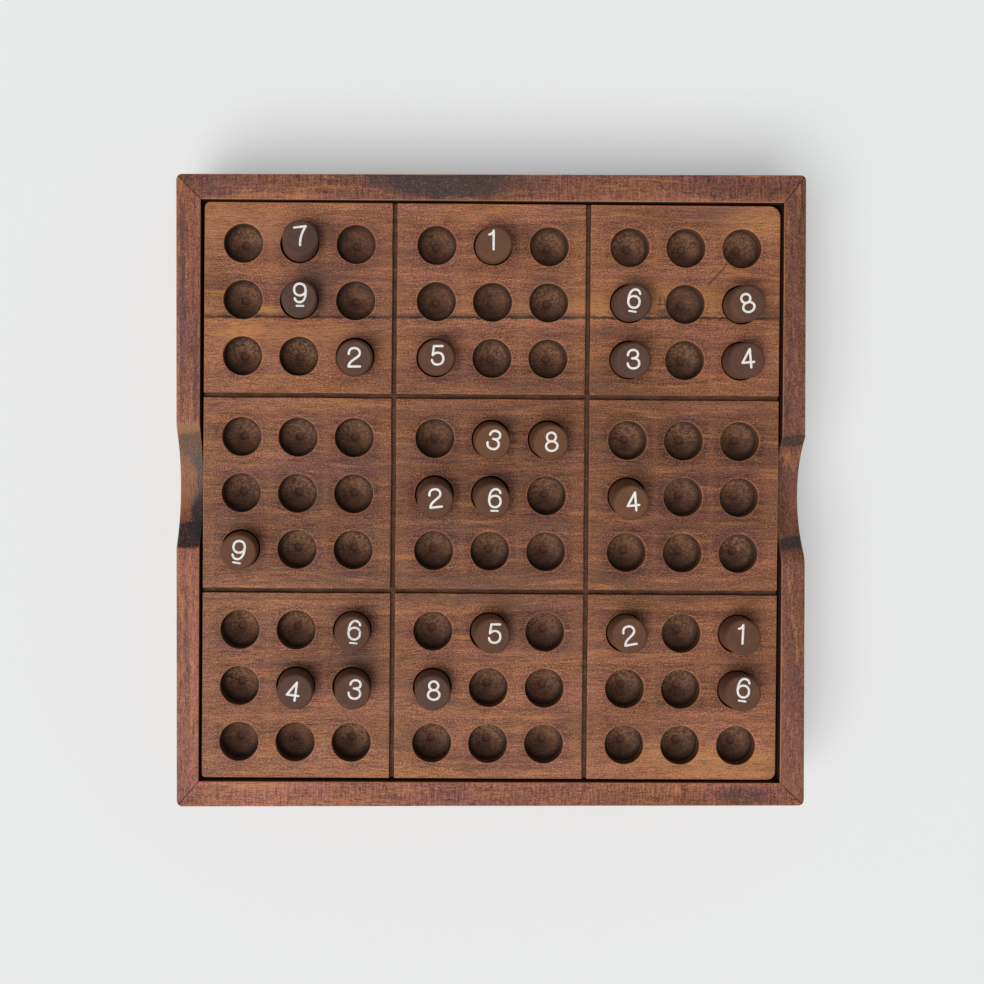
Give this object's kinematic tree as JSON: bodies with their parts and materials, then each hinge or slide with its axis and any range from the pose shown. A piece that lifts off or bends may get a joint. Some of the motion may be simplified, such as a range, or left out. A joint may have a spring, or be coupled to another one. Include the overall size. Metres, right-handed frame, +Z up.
{
  "type": "peg sudoku board",
  "caption": "Square wooden tray with a lift-out drilled board of peg holes in nine blocks, number pegs set out as a puzzle, and spare pegs stored underneath.",
  "frame": {"origin": "centre of the tray's footprint, on the surface that it stands on", "axes": "+Z up, +Y towards the back of the puzzle as its numbers are read, +X to its right"},
  "size_m": [0.21, 0.211, 0.0428],
  "materials": {
    "tray_wood": "satin oiled hardwood",
    "board_wood": "satin oiled hardwood, glued from staves",
    "peg_wood": "dark stained dowel, matte",
    "panel_wood": "plain sanded sheet",
    "ledge_wood": "plain sanded strip",
    "number_paint": "thin white paint"
  },
  "bodies": {
    "tray": {"back_wall": "tray_wood", "left_wall": "tray_wood", "front_wall": "tray_wood", "right_wall": "tray_wood", "bottom_panel": "panel_wood", "back_ledge": "ledge_wood", "left_ledge": "ledge_wood", "front_ledge": "ledge_wood", "right_ledge": "ledge_wood", "stored_pegs_1": "peg_wood", "stored_pegs_2": "peg_wood", "stored_pegs_3": "peg_wood", "stored_pegs_4": "peg_wood", "stored_pegs_5": "peg_wood", "stored_pegs_6": "peg_wood", "stored_pegs_7": "peg_wood", "stored_pegs_8": "peg_wood", "stored_pegs_9": "peg_wood"},
    "board": {"playing_board": "board_wood"},
    "peg_7_r1c2": {"peg_7_r1c2": "peg_wood"},
    "peg_1_r1c5": {"peg_1_r1c5": "peg_wood"},
    "peg_9_r2c2": {"peg_9_r2c2": "peg_wood"},
    "peg_6_r2c7": {"peg_6_r2c7": "peg_wood"},
    "peg_8_r2c9": {"peg_8_r2c9": "peg_wood"},
    "peg_2_r3c3": {"peg_2_r3c3": "peg_wood"},
    "peg_5_r3c4": {"peg_5_r3c4": "peg_wood"},
    "peg_3_r3c7": {"peg_3_r3c7": "peg_wood"},
    "peg_4_r3c9": {"peg_4_r3c9": "peg_wood"},
    "peg_3_r4c5": {"peg_3_r4c5": "peg_wood"},
    "peg_8_r4c6": {"peg_8_r4c6": "peg_wood"},
    "peg_2_r5c4": {"peg_2_r5c4": "peg_wood"},
    "peg_6_r5c5": {"peg_6_r5c5": "peg_wood"},
    "peg_4_r5c7": {"peg_4_r5c7": "peg_wood"},
    "peg_9_r6c1": {"peg_9_r6c1": "peg_wood"},
    "peg_6_r7c3": {"peg_6_r7c3": "peg_wood"},
    "peg_5_r7c5": {"peg_5_r7c5": "peg_wood"},
    "peg_2_r7c7": {"peg_2_r7c7": "peg_wood"},
    "peg_1_r7c9": {"peg_1_r7c9": "peg_wood"},
    "peg_4_r8c2": {"peg_4_r8c2": "peg_wood"},
    "peg_3_r8c3": {"peg_3_r8c3": "peg_wood"},
    "peg_8_r8c4": {"peg_8_r8c4": "peg_wood"},
    "peg_6_r8c9": {"peg_6_r8c9": "peg_wood"}
  },
  "joints": [
    {"name": "board_lift", "type": "slide", "parent": "tray", "child": "board", "axis": [0, 0, 1], "range_m": [0, 0.06]},
    {"name": "peg_7_r1c2_pull", "type": "slide", "parent": "board", "child": "peg_7_r1c2", "axis": [0.0874, 0.0866, 0.9924], "range_m": [0, 0.02]},
    {"name": "peg_1_r1c5_pull", "type": "slide", "parent": "board", "child": "peg_1_r1c5", "axis": [-0.0177, -0.0522, 0.9985], "range_m": [0, 0.02]},
    {"name": "peg_9_r2c2_pull", "type": "slide", "parent": "board", "child": "peg_9_r2c2", "axis": [0.0696, -0.0179, 0.9974], "range_m": [0, 0.02]},
    {"name": "peg_6_r2c7_pull", "type": "slide", "parent": "board", "child": "peg_6_r2c7", "axis": [-0.0001, -0.0175, 0.9998], "range_m": [0, 0.02]},
    {"name": "peg_8_r2c9_pull", "type": "slide", "parent": "board", "child": "peg_8_r2c9", "axis": [0, 0, 1], "range_m": [0, 0.02]},
    {"name": "peg_2_r3c3_pull", "type": "slide", "parent": "board", "child": "peg_2_r3c3", "axis": [0.017, -0.0699, 0.9974], "range_m": [0, 0.02]},
    {"name": "peg_5_r3c4_pull", "type": "slide", "parent": "board", "child": "peg_5_r3c4", "axis": [0.0173, -0.0176, 0.9997], "range_m": [0, 0.02]},
    {"name": "peg_3_r3c7_pull", "type": "slide", "parent": "board", "child": "peg_3_r3c7", "axis": [-0.0002, -0.0349, 0.9994], "range_m": [0, 0.02]},
    {"name": "peg_4_r3c9_pull", "type": "slide", "parent": "board", "child": "peg_4_r3c9", "axis": [0, 0, 1], "range_m": [0, 0.02]},
    {"name": "peg_3_r4c5_pull", "type": "slide", "parent": "board", "child": "peg_3_r4c5", "axis": [-0.0004, -0.0698, 0.9976], "range_m": [0, 0.02]},
    {"name": "peg_8_r4c6_pull", "type": "slide", "parent": "board", "child": "peg_8_r4c6", "axis": [0.0344, -0.07, 0.997], "range_m": [0, 0.02]},
    {"name": "peg_2_r5c4_pull", "type": "slide", "parent": "board", "child": "peg_2_r5c4", "axis": [0.0164, -0.1393, 0.9901], "range_m": [0, 0.02]},
    {"name": "peg_6_r5c5_pull", "type": "slide", "parent": "board", "child": "peg_6_r5c5", "axis": [0.0166, -0.122, 0.9924], "range_m": [0, 0.02]},
    {"name": "peg_4_r5c7_pull", "type": "slide", "parent": "board", "child": "peg_4_r5c7", "axis": [-0.0008, -0.1392, 0.9903], "range_m": [0, 0.02]},
    {"name": "peg_9_r6c1_pull", "type": "slide", "parent": "board", "child": "peg_9_r6c1", "axis": [0.0349, -0.0002, 0.9994], "range_m": [0, 0.02]},
    {"name": "peg_6_r7c3_pull", "type": "slide", "parent": "board", "child": "peg_6_r7c3", "axis": [0.0352, 0.0521, 0.998], "range_m": [0, 0.02]},
    {"name": "peg_5_r7c5_pull", "type": "slide", "parent": "board", "child": "peg_5_r7c5", "axis": [0.0699, 0.017, 0.9974], "range_m": [0, 0.02]},
    {"name": "peg_2_r7c7_pull", "type": "slide", "parent": "board", "child": "peg_2_r7c7", "axis": [0.0004, 0.0698, 0.9976], "range_m": [0, 0.02]},
    {"name": "peg_1_r7c9_pull", "type": "slide", "parent": "board", "child": "peg_1_r7c9", "axis": [-0.0172, 0.035, 0.9992], "range_m": [0, 0.02]},
    {"name": "peg_4_r8c2_pull", "type": "slide", "parent": "board", "child": "peg_4_r8c2", "axis": [0.0523, -0.0003, 0.9986], "range_m": [0, 0.02]},
    {"name": "peg_3_r8c3_pull", "type": "slide", "parent": "board", "child": "peg_3_r8c3", "axis": [0.0699, 0.017, 0.9974], "range_m": [0, 0.02]},
    {"name": "peg_8_r8c4_pull", "type": "slide", "parent": "board", "child": "peg_8_r8c4", "axis": [0, 0, 1], "range_m": [0, 0.02]},
    {"name": "peg_6_r8c9_pull", "type": "slide", "parent": "board", "child": "peg_6_r8c9", "axis": [0.0004, 0.0698, 0.9976], "range_m": [0, 0.02]}
  ]
}
